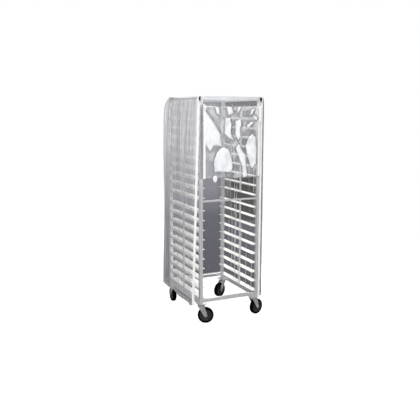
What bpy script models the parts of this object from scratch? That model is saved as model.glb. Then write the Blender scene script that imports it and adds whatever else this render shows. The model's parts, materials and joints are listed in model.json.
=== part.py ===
"""Aluminium sheet pan rack on four swivel casters, with a clear vinyl cover whose front flap is folded up.

Units are metres and +Z is up. The origin is on the floor under the middle of the frame, the open front
faces -Y, and left and right are as seen from the front.
"""

from math import atan2, cos, pi, radians, sin

import bmesh
import bpy
from mathutils import Matrix, Vector

INCH = 0.0254
GAP = 0.0003  # between pieces that touch
BITE = 0.0010  # how deep one shape runs into another that it is joined to
THROUGH = 0.08  # length of a cutter that goes right through its piece

# Frame of square aluminium tube, sized for 18 x 26 inch pans that slide in from the front
WIDTH = 20.5 * INCH
DEPTH = 26.0 * INCH
HEIGHT = 69.5 * INCH
TUBE = 1.0 * INCH
TUBE_WALL = 0.0016
FRAME_FOOT = 6.4 * INCH
SIDE_RAIL_HEIGHT = 1.25 * INCH
CROSS_RAIL_CENTRE = 7.55 * INCH
MID_BAR = 0.5 * INCH
MID_BAR_CENTRE = 38.45 * INCH
HALF_W, HALF_D = WIDTH / 2, DEPTH / 2
SIDES = {"left": -1, "right": 1}
ENDS = {"front": -1, "rear": 1}

# Ledges: twenty pairs of angles in two banks on each side, each bank joined by one upright strap
TIER_PITCH = 3.0 * INCH
TIERS_IN_BANK = 10
LOWEST_TIER = {"lower": 8.5 * INCH, "upper": 39.4 * INCH}
LEDGE_THICK = 0.0025
LEDGE_WIDTH = 2.1 * INCH
LEDGE_LIP = 0.75 * INCH
STRAP_WIDTH = 1.0 * INCH
STRAP_THICK = 0.0032
STRAP_ABOVE = 0.012

# Swivel casters with 5 x 1 1/4 inch wheels
WHEEL_RADIUS = 2.5 * INCH
WHEEL_WIDTH = 0.032
HUB_RADIUS = 0.0475
CASTER_HEIGHT = 6.25 * INCH
TRAIL = 1.6 * INCH
STEM_FROM_SIDE = 1.0 * INCH
STEM_FROM_END = 1.8 * INCH
PLATE_SIZE = (0.050, 0.080, 0.003)
CORNER_PLATE_SIZE = (0.068, 0.098, 0.0032)
CORNER_PLATE_INSET = 0.0005
CORNER_PLATE_CUT = 0.0200
RACE_RADIUS = 0.0235
RACE_BOTTOM = 0.1508
CROWN_TOP = RACE_BOTTOM - 0.0005
CROWN_BOTTOM = 0.134
FORK_INSIDE = 0.0185
FORK_SHEET = 0.003
FORK_REACH = (-0.021, 0.030)  # of the crown's slab, along the way that the wheel trails
FORK_SLAB = 0.008
FORK_BOSS = 0.013
AXLE_RADIUS = 0.0047
AXLE_BORE = 0.0050
KINGPIN_RADIUS = 0.006
KINGPIN_BORE = 0.0065
KINGPIN_HEAD = (0.0090, 0.0035)
BOLT_HEAD = (0.0072, 0.0055)
BOLT_GRID = (0.0170, 0.0310)
AXLE_HEAD = (0.0079, 0.0055)
HUB_BOSS = (0.0130, 0.0172)
HUB_WEB = 0.0050
HUB_RIM = (0.0400, 0.0125)
TYRE_SHOULDER = 0.006
TYRE_BEAD = (0.004, 0.003)
WHEEL_STEPS = 32
# Which way each wheel trails behind its stem, in degrees from +X towards +Y
TRAIL_ANGLE = {
    ("front", "left"): -24.0,
    ("front", "right"): 18.0,
    ("rear", "left"): 86.0,
    ("rear", "right"): 205.0,
}

# Clear vinyl cover, which flares outwards towards its hem
SHEET = 0.0010
COVER_TOP = HEIGHT + 0.0005
COVER_HEM = 0.172
SKIRT_LEFT = (-0.2825, -0.3110)  # at the top and at the hem
SKIRT_LEFT_DOOR = (-0.2825, -0.3330)  # the same beside the door, where it flares more
SKIRT_RIGHT = (0.2745, 0.2960)
SKIRT_REAR = (0.3520, 0.3740)
SKIRT_FRONT = -0.3330
COVER_FRONT = -0.3337
TAPE_THICK = 0.0015
TAPE_WIDTH = 0.020
TAPE_CENTRE = {"left": (-0.2710, -0.3210), "right": (0.2605, 0.2605)}  # at the top and at the hem
HEADER_SPAN = (-0.2475, 0.2390)
HEADER_BOTTOM = 1.7112
FLAP_SPAN = (-0.2430, 0.2340)
FLAP_HINGE = (-0.3386, 1.7088)  # Y and Z
FLAP_BOTTOM = 1.148
FLAP_LEAN = 0.0015  # how far forward it comes on its way down to the fold
FLAP_FOLD_RADIUS = 0.0165
FLAP_TURN_UP = (-0.3480, 1.6600)  # Y and Z where the folded-up part ends

# Zipper sliders, parked at the top of their tapes
SLIDER_SIZE = (0.014, 0.0085, 0.026)
SLIDER_BACK = 0.001  # how much less it stands out behind its tape
SLIDER_WEB = 0.0006  # from the tape's inner edge to the end of the slider's slot
SLIDER_TOP = 1.762
SLIDER_LIP = 0.0035  # how far the slider reaches past the tape's inner edge
SLIDER_EAR = (0.0022, 0.0060)
EAR_REACH = 0.0016  # how far an ear goes on past the bail
BAIL_OUT = 0.0040
BAIL_RADIUS = 0.0008
TAB_BORE = 0.0012
TAB_EYE = 0.0023
TAB_SIZE = (0.0046, 0.0012, 0.026)
TAB_PLAY = 0.0004

ALUMINIUM = ("aluminium", (0.80, 0.81, 0.82, 1.0), 0.32, 1.0)
ZINC = ("zinc_plated_steel", (0.62, 0.63, 0.64, 1.0), 0.35, 1.0)
RUBBER = ("black_rubber", (0.02, 0.02, 0.02, 1.0), 0.6, 0.0)
HUB_PLASTIC = ("hub_plastic", (0.06, 0.06, 0.065, 1.0), 0.45, 0.0)
VINYL = ("clear_vinyl", (0.86, 0.87, 0.90, 0.35), 0.12, 0.0)
TAPE = ("white_tape", (0.88, 0.88, 0.88, 1.0), 0.7, 0.0)
DARK_METAL = ("dark_metal", (0.10, 0.10, 0.11, 1.0), 0.4, 1.0)


def material(look):
    name, colour, roughness, metallic = look
    made = bpy.data.materials.get(name)
    if made is None:
        made = bpy.data.materials.new(name)
        made.use_nodes = True
        shader = made.node_tree.nodes["Principled BSDF"]
        shader.inputs["Base Color"].default_value = colour
        shader.inputs["Roughness"].default_value = roughness
        shader.inputs["Metallic"].default_value = metallic
        shader.inputs["Alpha"].default_value = colour[3]
    return made


def add_object(name, shape, look=None, parent=None):
    """The bmesh as an object. With no look it is a helper, which only cuts or joins."""
    bmesh.ops.recalc_face_normals(shape, faces=shape.faces)
    mesh = bpy.data.meshes.new(name)
    shape.to_mesh(mesh)
    shape.free()
    made = bpy.data.objects.new(name, mesh)
    bpy.context.scene.collection.objects.link(made)
    made.parent = parent
    if look is None:
        made.hide_render = True
        made.display_type = "WIRE"
    else:
        mesh.materials.append(material(look))
    return made


def combine(target, helper, operation):
    helper.parent = target.parent
    helper.matrix_basis = target.matrix_basis.copy()
    modifier = target.modifiers.new(operation.title(), "BOOLEAN")
    modifier.operation = operation
    modifier.object = helper
    modifier.solver = "EXACT"


def box_shape(low, high):
    """A box from its lowest to its highest corner."""
    size = Vector(high) - Vector(low)
    middle = (Vector(high) + Vector(low)) / 2
    shape = bmesh.new()
    bmesh.ops.create_cube(shape, size=1.0, matrix=Matrix.LocRotScale(middle, None, size))
    return shape


def hull_shape(points):
    """The convex body around the points."""
    shape = bmesh.new()
    for point in points:
        shape.verts.new(point)
    bmesh.ops.convex_hull(shape, input=shape.verts)
    loose = [vert for vert in shape.verts if not vert.link_faces]
    bmesh.ops.delete(shape, geom=loose, context="VERTS")
    bmesh.ops.dissolve_limit(shape, angle_limit=radians(0.5), verts=shape.verts, edges=shape.edges)
    return shape


def extrude(shape, face, travel):
    grown = bmesh.ops.extrude_face_region(shape, geom=[face])
    moved = [item for item in grown["geom"] if isinstance(item, bmesh.types.BMVert)]
    bmesh.ops.translate(shape, verts=moved, vec=travel)


def drum_shape(centre, radius, length, axis, sides=24):
    """A round or many-sided bar centred on a point, along a row axis."""
    turn = {"X": Matrix.Rotation(pi / 2, 4, "Y"), "Y": Matrix.Rotation(pi / 2, 4, "X")}
    shape = bmesh.new()
    bmesh.ops.create_cone(
        shape,
        cap_ends=True,
        segments=sides,
        radius1=radius,
        radius2=radius,
        depth=length,
        matrix=Matrix.Translation(centre) @ turn.get(axis, Matrix.Identity(4)),
    )
    return shape


def turned_shape(profile, steps):
    """A closed (radius, offset) profile turned about the local Y axis."""
    shape = bmesh.new()
    verts = [shape.verts.new((radius, offset, 0.0)) for radius, offset in profile]
    edges = [shape.edges.new((a, b)) for a, b in zip(verts, verts[1:] + verts[:1])]
    bmesh.ops.spin(
        shape,
        geom=verts + edges,
        cent=(0.0, 0.0, 0.0),
        axis=(0.0, 1.0, 0.0),
        angle=2 * pi,
        steps=steps,
        use_merge=True,
    )
    bmesh.ops.remove_doubles(shape, verts=shape.verts, dist=1e-6)
    return shape


def tube(name, low, high, open_faces):
    """A rectangular tube; open_faces lists the outward normals of the ends that are left open."""
    shape = box_shape(low, high)
    bmesh.ops.recalc_face_normals(shape, faces=shape.faces)
    ends = [f for f in shape.faces if any((f.normal - Vector(n)).length < 0.1 for n in open_faces)]
    bmesh.ops.delete(shape, geom=ends, context="FACES_ONLY")
    mesh = bpy.data.meshes.new(name)
    shape.to_mesh(mesh)
    shape.free()
    mesh.materials.append(material(ALUMINIUM))
    made = bpy.data.objects.new(name, mesh)
    bpy.context.scene.collection.objects.link(made)
    wall = made.modifiers.new("Wall", "SOLIDIFY")
    wall.thickness = TUBE_WALL
    wall.offset = -1.0
    wall.use_even_offset = True
    return made


def spread(side, near, far):
    """Two distances in from an outer face, as a low and a high coordinate on that side."""
    return sorted((side * near, side * far))


def frame_posts():
    for end, end_sign in ENDS.items():
        for side, side_sign in SIDES.items():
            x_low, x_high = spread(side_sign, HALF_W - TUBE, HALF_W)
            y_low, y_high = spread(end_sign, HALF_D - TUBE, HALF_D)
            tube(
                f"post_{end}_{side}",
                (x_low, y_low, FRAME_FOOT),
                (x_high, y_high, HEIGHT),
                [(0, 0, -1)],
            )


def side_rail(name, side_sign, z_low, z_high):
    x_low, x_high = spread(side_sign, HALF_W - TUBE, HALF_W)
    reach = HALF_D - TUBE - GAP
    tube(name, (x_low, -reach, z_low), (x_high, reach, z_high), [(0, -1, 0), (0, 1, 0)])


def cross_rail(name, end_sign, size, z_middle):
    y_low, y_high = spread(end_sign, HALF_D - size, HALF_D)
    reach = HALF_W - TUBE - GAP
    tube(
        name,
        (-reach, y_low, z_middle - size / 2),
        (reach, y_high, z_middle + size / 2),
        [(-1, 0, 0), (1, 0, 0)],
    )


def frame_rails():
    for side, side_sign in SIDES.items():
        side_rail(f"top_rail_{side}", side_sign, HEIGHT - TUBE, HEIGHT)
        side_rail(f"bottom_rail_{side}", side_sign, FRAME_FOOT, FRAME_FOOT + SIDE_RAIL_HEIGHT)
    for end, end_sign in ENDS.items():
        cross_rail(f"top_rail_{end}", end_sign, TUBE, HEIGHT - TUBE / 2)
        cross_rail(f"bottom_rail_{end}", end_sign, TUBE, CROSS_RAIL_CENTRE)
    cross_rail("mid_bar_front", ENDS["front"], MID_BAR, MID_BAR_CENTRE)


def ledge_shape(side_sign, top):
    """One angle: a flat flange that the pan rests on, and a lip down its outer edge."""
    outer = HALF_W - STRAP_THICK + BITE
    inner = HALF_W - LEDGE_WIDTH
    section = [
        (outer, top),
        (inner, top),
        (inner, top - LEDGE_THICK),
        (outer - LEDGE_THICK, top - LEDGE_THICK),
        (outer - LEDGE_THICK, top - LEDGE_LIP),
        (outer, top - LEDGE_LIP),
    ]
    reach = HALF_D - TUBE - GAP
    shape = bmesh.new()
    face = shape.faces.new([shape.verts.new((side_sign * x, -reach, z)) for x, z in section])
    extrude(shape, face, (0.0, 2 * reach, 0.0))
    return shape


def ledge_bank(side, level):
    """Ten ledges and the strap that ties them at half depth."""
    side_sign = SIDES[side]
    tops = [LOWEST_TIER[level] + TIER_PITCH * tier for tier in range(TIERS_IN_BANK)]
    x_low, x_high = spread(side_sign, HALF_W - STRAP_THICK, HALF_W)
    strap = box_shape(
        (x_low, -STRAP_WIDTH / 2, tops[0] - LEDGE_LIP + BITE),
        (x_high, STRAP_WIDTH / 2, tops[-1] + STRAP_ABOVE),
    )
    bank = add_object(f"ledge_bank_{side}_{level}", strap, ALUMINIUM)
    for tier, top in enumerate(tops):
        ledge = add_object(f"ledge_{side}_{level}_{tier}", ledge_shape(side_sign, top))
        combine(bank, ledge, "UNION")


def corner_plate(name, side_sign, end_sign):
    """The welded plate under a corner that its caster is bolted to, with its inner corner cut off."""
    x_size, y_size, thick = CORNER_PLATE_SIZE
    bottom = FRAME_FOOT - GAP - thick
    x_out = side_sign * (HALF_W - CORNER_PLATE_INSET)
    y_out = end_sign * (HALF_D - CORNER_PLATE_INSET)
    x_in, y_in = x_out - side_sign * x_size, y_out - end_sign * y_size
    cut = CORNER_PLATE_CUT
    outline = [
        (x_out, y_out),
        (x_in, y_out),
        (x_in, y_in + end_sign * cut),
        (x_in + side_sign * cut, y_in),
        (x_out, y_in),
    ]
    points = [(x, y, z) for x, y in outline for z in (bottom, bottom + thick)]
    add_object(name, hull_shape(points), ALUMINIUM)


def caster_plate(name, stem):
    """Top plate, the fixed half of the swivel race and the four bolt heads under it."""
    x_size, y_size, thick = PLATE_SIZE
    low = Vector((-x_size / 2, -y_size / 2, CASTER_HEIGHT - thick))
    high = Vector((x_size / 2, y_size / 2, CASTER_HEIGHT))
    plate = add_object(name, box_shape(low, high), ZINC)
    plate.location = stem
    race_height = CASTER_HEIGHT - RACE_BOTTOM
    race = drum_shape(
        (0, 0, RACE_BOTTOM + (race_height - thick / 2) / 2),
        RACE_RADIUS,
        race_height - thick / 2,
        "Z",
    )
    combine(plate, add_object(f"{name}_race", race), "UNION")
    bore = drum_shape((0, 0, CASTER_HEIGHT), KINGPIN_BORE, THROUGH, "Z", 16)
    combine(plate, add_object(f"{name}_bore", bore), "DIFFERENCE")
    head_radius, head_height = BOLT_HEAD
    for x_sign in (-1, 1):
        for y_sign in (-1, 1):
            centre = (
                x_sign * BOLT_GRID[0],
                y_sign * BOLT_GRID[1],
                low.z + thick / 4 - head_height / 2,
            )
            head = drum_shape(centre, head_radius, head_height + thick / 2, "Z", 6)
            combine(plate, add_object(f"{name}_bolt_{x_sign}_{y_sign}", head), "UNION")


def kingpin(name, stem):
    """The rivet that the fork turns on, with its head under the fork's crown."""
    head_radius, head = KINGPIN_HEAD
    neck = CROWN_BOTTOM - GAP
    shank = drum_shape(
        (0, 0, (neck - head / 2 + CASTER_HEIGHT) / 2),
        KINGPIN_RADIUS,
        CASTER_HEIGHT - neck + head / 2,
        "Z",
        16,
    )
    pin = add_object(name, shank, ZINC)
    pin.location = stem
    cap = drum_shape((0, 0, neck - head / 2), head_radius, head, "Z", 16)
    combine(pin, add_object(f"{name}_head", cap), "UNION")


def fork(name, swivel):
    """The crown that carries the moving race, and two legs that taper down to the axle."""
    crown = drum_shape(
        (0, 0, (CROWN_BOTTOM + CROWN_TOP) / 2), RACE_RADIUS - BITE, CROWN_TOP - CROWN_BOTTOM, "Z"
    )
    made = add_object(name, crown, ZINC, swivel)
    outside = FORK_INSIDE + FORK_SHEET
    slab_top = CROWN_BOTTOM + FORK_SLAB
    back, front = FORK_REACH
    slab = box_shape((back, -outside, CROWN_BOTTOM), (front, outside, slab_top))
    combine(made, add_object(f"{name}_slab", slab), "UNION")
    facets = 16
    for v_sign in (-1, 1):
        points = []
        for v in (v_sign * FORK_INSIDE, v_sign * outside):
            points += [(u, v, slab_top) for u in FORK_REACH]
            for step in range(facets):
                turn = 2 * pi * step / facets
                u, z = TRAIL + FORK_BOSS * cos(turn), WHEEL_RADIUS + FORK_BOSS * sin(turn)
                points.append((u, v, z))
        leg = add_object(f"{name}_leg_{v_sign}", hull_shape(points))
        combine(made, leg, "UNION")
    bore = drum_shape((0, 0, CROWN_BOTTOM), KINGPIN_BORE, THROUGH, "Z", 16)
    combine(made, add_object(f"{name}_kingpin_bore", bore), "DIFFERENCE")
    hole = drum_shape((TRAIL, 0, WHEEL_RADIUS), AXLE_BORE, THROUGH, "Y", 16)
    combine(made, add_object(f"{name}_axle_bore", hole), "DIFFERENCE")


def axle(name, spin):
    """A hex bolt through both legs and the hub, with its nut."""
    head_out = FORK_INSIDE + FORK_SHEET + GAP
    head_radius, head_height = AXLE_HEAD
    reach = head_out + head_height + BITE
    made = add_object(name, drum_shape((0, 0, 0), AXLE_RADIUS, 2 * reach, "Y", 16), ZINC, spin)
    for v_sign in (-1, 1):
        centre = (0, v_sign * (head_out + head_height / 2), 0)
        hex_end = drum_shape(centre, head_radius, head_height, "Y", 6)
        combine(made, add_object(f"{name}_hex_{v_sign}", hex_end), "UNION")


def tyre(name, spin):
    """A solid rubber ring with rounded shoulders."""
    half, shoulder, facets = WHEEL_WIDTH / 2, TYRE_SHOULDER, 3
    inner = HUB_RADIUS + GAP
    out, back = TYRE_BEAD
    profile = [(inner, back - half), (inner, half - back), (inner + out, half)]
    for side_sign in (1, -1):
        for step in range(facets + 1):
            turn = pi / 2 * step / facets
            turn = pi / 2 - turn if side_sign > 0 else turn
            radius = WHEEL_RADIUS - shoulder + shoulder * cos(turn)
            profile.append((radius, side_sign * (half - shoulder + shoulder * sin(turn))))
    profile.append((inner + out, -half))
    add_object(name, turned_shape(profile, WHEEL_STEPS), RUBBER, spin)


def hub(name, spin):
    """The wheel's core: a boss on the axle, a thin web and the rim that the tyre is on."""
    boss_radius, boss_half = HUB_BOSS
    rim_radius, rim_half = HUB_RIM
    half_profile = [
        (AXLE_BORE, boss_half),
        (boss_radius, boss_half),
        (boss_radius + BITE, HUB_WEB + BITE),
        (rim_radius - BITE, HUB_WEB),
        (rim_radius, rim_half),
        (HUB_RADIUS, rim_half),
    ]
    profile = half_profile + [(radius, -offset) for radius, offset in reversed(half_profile)]
    add_object(name, turned_shape(profile, WHEEL_STEPS), HUB_PLASTIC, spin)


def caster(end, side):
    where = f"{end}_{side}"
    side_sign, end_sign = SIDES[side], ENDS[end]
    stem = Vector(
        (side_sign * (HALF_W - STEM_FROM_SIDE), end_sign * (HALF_D - STEM_FROM_END), 0.0)
    )
    corner_plate(f"corner_plate_{where}", side_sign, end_sign)
    caster_plate(f"caster_plate_{where}", stem)
    kingpin(f"kingpin_{where}", stem)
    swivel = bpy.data.objects.new(f"swivel_axis_{where}", None)
    bpy.context.scene.collection.objects.link(swivel)
    swivel.location = stem
    swivel.rotation_euler.z = radians(TRAIL_ANGLE[(end, side)])
    fork(f"fork_{where}", swivel)
    spin = bpy.data.objects.new(f"wheel_axis_{where}", None)
    bpy.context.scene.collection.objects.link(spin)
    spin.parent = swivel
    spin.location = (TRAIL, 0.0, WHEEL_RADIUS)
    axle(f"axle_{where}", spin)
    tyre(f"tyre_{where}", spin)
    hub(f"hub_{where}", spin)


def at_height(top_and_hem, z):
    """A skirt coordinate at height z, on the straight line from the cover's top to its hem."""
    share = (COVER_TOP - z) / (COVER_TOP - COVER_HEM)
    return top_and_hem[0] + share * (top_and_hem[1] - top_and_hem[0])


def side_panel_shape(skirt, skirt_door, inward):
    """A thin panel with a faint fold across it, as its front edge leans more than its rear edge."""
    shape = bmesh.new()
    outer = []
    for z in (COVER_HEM, COVER_TOP - GAP):
        outer.append((at_height(skirt_door, z), SKIRT_FRONT, z))
        outer.append((at_height(skirt, z), at_height(SKIRT_REAR, z) - SHEET - GAP, z))
    layers = [
        [shape.verts.new((x + travel, y, z)) for x, y, z in outer] for travel in (0.0, inward * SHEET)
    ]
    for layer in layers:
        for a, b, c in ((0, 1, 2), (1, 2, 3)):
            shape.faces.new((layer[a], layer[b], layer[c]))
    near, far = layers
    for a, b in ((0, 1), (1, 3), (3, 2), (2, 0)):
        shape.faces.new((near[a], near[b], far[b], far[a]))
    return shape


def cover_panels():
    """Top, sides and rear of the vinyl cover, which hangs clear of the frame."""
    heights = (COVER_HEM, COVER_TOP - GAP)
    left = side_panel_shape(SKIRT_LEFT, SKIRT_LEFT_DOOR, 1)
    right = side_panel_shape(SKIRT_RIGHT, SKIRT_RIGHT, -1)
    add_object("cover_left", left, VINYL)
    add_object("cover_right", right, VINYL)
    points = []
    for z in heights:
        y = at_height(SKIRT_REAR, z)
        for x in (at_height(SKIRT_LEFT, z), at_height(SKIRT_RIGHT, z)):
            points += [(x, y, z), (x, y - SHEET, z)]
    add_object("cover_rear", hull_shape(points), VINYL)
    front = COVER_FRONT - SHEET
    add_object(
        "cover_top",
        box_shape(
            (SKIRT_LEFT[0], front, COVER_TOP), (SKIRT_RIGHT[0], SKIRT_REAR[0], COVER_TOP + SHEET)
        ),
        VINYL,
    )
    header_low = (HEADER_SPAN[0], front, HEADER_BOTTOM)
    header_high = (HEADER_SPAN[1], COVER_FRONT, COVER_TOP - GAP)
    add_object("cover_header", box_shape(header_low, header_high), VINYL)


def ribbon_outline(line, thickness):
    """The closed outline of a thin strip that follows a line of (y, z) points."""
    left, right = [], []
    for place, point in enumerate(line):
        before, after = line[max(place - 1, 0)], line[min(place + 1, len(line) - 1)]
        along = Vector((after[0] - before[0], after[1] - before[1])).normalized()
        across = Vector((-along.y, along.x)) * thickness / 2
        left.append(Vector(point) + across)
        right.append(Vector(point) - across)
    return left + right[::-1]


def front_flap():
    """The door flap, which hangs from its seam to a fold and comes up again in front of itself."""
    hinge_y, hinge_z = FLAP_HINGE
    fold_y = hinge_y - FLAP_LEAN - FLAP_FOLD_RADIUS
    fold_z = FLAP_BOTTOM + FLAP_FOLD_RADIUS + SHEET / 2
    line = [(hinge_y, hinge_z)]
    facets = 8
    for step in range(facets + 1):
        turn = pi * step / facets
        line.append((fold_y + FLAP_FOLD_RADIUS * cos(turn), fold_z - FLAP_FOLD_RADIUS * sin(turn)))
    line.append(FLAP_TURN_UP)
    shape = bmesh.new()
    outline = ribbon_outline(line, SHEET)
    face = shape.faces.new([shape.verts.new((FLAP_SPAN[0], y, z)) for y, z in outline])
    extrude(shape, face, (FLAP_SPAN[1] - FLAP_SPAN[0], 0.0, 0.0))
    add_object("front_flap", shape, VINYL)


def tape_slope(side):
    """How much the tape leans, as the angle about Y that tips its top inwards."""
    top, hem = TAPE_CENTRE[side]
    return atan2(top - hem, COVER_TOP - COVER_HEM)


def zipper_tape(side):
    points = []
    for z in (COVER_HEM, COVER_TOP - GAP):
        middle = at_height(TAPE_CENTRE[side], z)
        for x in (middle - TAPE_WIDTH / 2, middle + TAPE_WIDTH / 2):
            points += [(x, COVER_FRONT, z), (x, COVER_FRONT - TAPE_THICK, z)]
    add_object(f"zipper_tape_{side}", hull_shape(points), TAPE)


def zipper_slider(side):
    """A slider round the tape's inner edge, with a bail at its front, and the pull tab on the bail."""
    inward = -SIDES[side]
    width, depth, height = SLIDER_SIZE
    middle_z = SLIDER_TOP - height / 2
    edge = at_height(TAPE_CENTRE[side], middle_z) + inward * TAPE_WIDTH / 2
    tape_middle = COVER_FRONT - TAPE_THICK / 2
    centre = bpy.data.objects.new(f"slider_place_{side}", None)
    bpy.context.scene.collection.objects.link(centre)
    centre.location = (edge, tape_middle, middle_z)
    centre.rotation_euler.y = tape_slope(side)
    x_low, x_high = sorted((inward * SLIDER_LIP, inward * (SLIDER_LIP - width)))
    front, back = -depth / 2, depth / 2 - SLIDER_BACK
    body = box_shape((x_low, front, -height / 2), (x_high, back, height / 2))
    made = add_object(f"zipper_slider_{side}", body, DARK_METAL, centre)
    ear_width, ear_height = SLIDER_EAR
    ear_gap = TAB_SIZE[0] / 2 + TAB_PLAY
    bail_y = front - BAIL_OUT
    bail_x = (x_low + x_high) / 2
    for x_sign in (-1, 1):
        near, far = sorted((bail_x + x_sign * ear_gap, bail_x + x_sign * (ear_gap + ear_width)))
        ear = box_shape(
            (near, bail_y - EAR_REACH, -ear_height / 2), (far, front + BITE, ear_height / 2)
        )
        combine(made, add_object(f"slider_{side}_ear_{x_sign}", ear), "UNION")
    bail_length = 2 * (ear_gap + ear_width / 2)
    bail = drum_shape((bail_x, bail_y, 0), BAIL_RADIUS, bail_length, "X", 12)
    combine(made, add_object(f"slider_{side}_bail", bail), "UNION")
    slot_half = TAPE_THICK / 2 + GAP
    slot_x = sorted((inward * SLIDER_WEB, -inward * THROUGH))
    slot = box_shape((slot_x[0], -slot_half, -THROUGH), (slot_x[1], slot_half, THROUGH))
    combine(made, add_object(f"slider_{side}_slot", slot), "DIFFERENCE")
    pull_tab(side, centre, (bail_x, bail_y, 0.0))


def pull_tab(side, centre, bail):
    """A flat tab that hangs from the slider's bail by the eye at its top."""
    width, thick, length = TAB_SIZE
    pivot = bpy.data.objects.new(f"tab_axis_{side}", None)
    bpy.context.scene.collection.objects.link(pivot)
    pivot.parent = centre
    pivot.location = bail
    facets = 16
    points = []
    for x in (-width / 2, width / 2):
        for step in range(facets):
            turn = 2 * pi * step / facets
            points.append((x, TAB_EYE * cos(turn), TAB_EYE * sin(turn)))
        points += [(x, y, -length) for y in (-thick / 2, thick / 2)]
    tab = add_object(f"pull_tab_{side}", hull_shape(points), DARK_METAL, pivot)
    bore = drum_shape((0, 0, 0), TAB_BORE, 2 * width, "X", 16)
    combine(tab, add_object(f"tab_{side}_bore", bore), "DIFFERENCE")


def smooth_round_pieces():
    for made in bpy.data.objects:
        if made.type == "MESH" and made.name.startswith(("tyre", "hub", "kingpin", "axle", "fork")):
            made.data.shade_smooth()
            made.data.set_sharp_from_angle(angle=radians(35))


def main():
    for old in list(bpy.data.objects):
        bpy.data.objects.remove(old)
    frame_posts()
    frame_rails()
    for side in SIDES:
        for level in LOWEST_TIER:
            ledge_bank(side, level)
    for end in ENDS:
        for side in SIDES:
            caster(end, side)
    cover_panels()
    front_flap()
    for side in SIDES:
        zipper_tape(side)
        zipper_slider(side)
    smooth_round_pieces()


main()
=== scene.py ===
"""Looks of the sheet pan rack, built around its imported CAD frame.

Units are metres and +Z is up. The origin is on the floor under the middle of the rack, whose open front
faces -Y. The clear vinyl cover hangs over the frame, and its front flap is folded up.
"""

import json
from math import cos, pi, radians, sin

import bmesh
import bpy
import numpy as np
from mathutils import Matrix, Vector


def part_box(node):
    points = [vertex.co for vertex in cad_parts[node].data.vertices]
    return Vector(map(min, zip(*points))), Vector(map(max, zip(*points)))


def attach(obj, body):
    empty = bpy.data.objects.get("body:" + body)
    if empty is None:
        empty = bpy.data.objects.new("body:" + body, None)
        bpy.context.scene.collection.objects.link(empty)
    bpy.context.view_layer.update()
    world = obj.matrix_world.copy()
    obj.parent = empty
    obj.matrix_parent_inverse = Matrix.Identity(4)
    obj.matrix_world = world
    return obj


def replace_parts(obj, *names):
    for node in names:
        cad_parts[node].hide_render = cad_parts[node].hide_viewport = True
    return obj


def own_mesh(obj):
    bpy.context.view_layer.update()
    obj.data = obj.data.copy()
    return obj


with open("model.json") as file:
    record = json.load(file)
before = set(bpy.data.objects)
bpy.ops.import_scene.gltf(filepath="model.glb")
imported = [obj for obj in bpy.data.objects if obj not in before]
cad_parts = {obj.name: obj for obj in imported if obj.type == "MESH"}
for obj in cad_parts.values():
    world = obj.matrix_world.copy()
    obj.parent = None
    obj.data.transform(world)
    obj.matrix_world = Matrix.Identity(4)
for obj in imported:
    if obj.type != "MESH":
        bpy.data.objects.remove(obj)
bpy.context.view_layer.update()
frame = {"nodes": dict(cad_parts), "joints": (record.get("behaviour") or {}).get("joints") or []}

SCENE = bpy.context.scene
JOINTS = {joint["name"]: joint for joint in frame["joints"]}
SIDES = {"left": -1, "right": 1}
CORNERS = [f"{end}_{side}" for end in ("front", "rear") for side in SIDES]

# Places taken from the frame
POST_LOW, POST_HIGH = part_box("post_rear_right")
HALF_WIDTH, HALF_DEPTH = POST_HIGH.xy
TUBE = POST_HIGH.x - POST_LOW.x
COVER_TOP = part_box("cover_top")[1].z
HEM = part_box("cover_left")[0].z
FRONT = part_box("cover_header")[0].y
TAPE_LOW = {side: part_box(f"zipper_tape_{side}")[0] for side in SIDES}
TAPE_HIGH = {side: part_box(f"zipper_tape_{side}")[1] for side in SIDES}
TAPE_WIDTH = TAPE_HIGH["right"].x - TAPE_LOW["right"].x
FLAP_LOW, FLAP_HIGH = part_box("front_flap")
HEADER_LOW, HEADER_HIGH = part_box("cover_header")

# The cover's hang: where its skirt is at the top and at the hem
SKIRT = {"left": (-0.2990, -0.3170), "right": (0.2930, 0.2900), "rear": (0.3560, 0.3740)}
DOOR_FLARE = 0.024  # how much further out the left side's hem is beside the door
CORNER_PULL = 0.017  # how far the cover is drawn in over the frame's top rear left corner
CORNER_PULL_REACH = 0.22
CORNER_PULL_FALL = 0.05
SHOULDER = 0.021  # how much further in the skirt starts, at the seam round its top
SHOULDER_FALL = 0.030
REAR_CORNER = 0.034  # radius of the skirt's rear corners
FREE_EDGE = 0.07  # how far from the tapes the skirt's folds take to reach their full depth
GRID = 0.0075  # size of one face of the vinyl
FILM_GAP = 0.0012  # how far a seam or a hem stands proud of the film that it is on
HEM_DEPTH = 0.030
SKIRT_CREASE = 0.0022  # how far a fold bends across one face where the film is creased white


# ---------------------------------------------------------------- mesh helpers


def add_piece(name, mesh, look, body, smooth=True):
    """A new object of that mesh, which rides on a CAD body and takes its finish from a slot."""
    made = bpy.data.objects.new(name, mesh)
    SCENE.collection.objects.link(made)
    mesh.materials.append(look)
    if smooth:
        mesh.shade_smooth()
    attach(made, body)
    return made


def mesh_of(name, points, faces):
    mesh = bpy.data.meshes.new(name)
    mesh.from_pydata(np.asarray(points).reshape(-1, 3).tolist(), [], np.asarray(faces).tolist())
    mesh.validate()
    return mesh


def grid_faces(rows, columns, closed=False, start=0):
    """Quads of a grid of points, row by row; a closed grid joins its last column to its first."""
    index = np.arange(rows * columns).reshape(rows, columns) + start
    if closed:
        index = np.concatenate([index, index[:, :1]], axis=1)
    corners = [index[:-1, :-1], index[:-1, 1:], index[1:, 1:], index[1:, :-1]]
    return np.stack(corners, axis=-1).reshape(-1, 4)


def grid_mesh(name, points, crease_and_painted_light=None):
    """A sheet through a (rows, columns, 3) grid, with how sharply it is creased, and any painted highlights
    and shade, kept on its points.
    """
    rows, columns = points.shape[:2]
    mesh = mesh_of(name, points, grid_faces(rows, columns))
    if crease_and_painted_light is not None:
        layer = mesh.attributes.new("crease_and_painted_light", "FLOAT", "POINT")
        layer.data.foreach_set("value", crease_and_painted_light.astype(np.float32).ravel())
    return mesh


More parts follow.
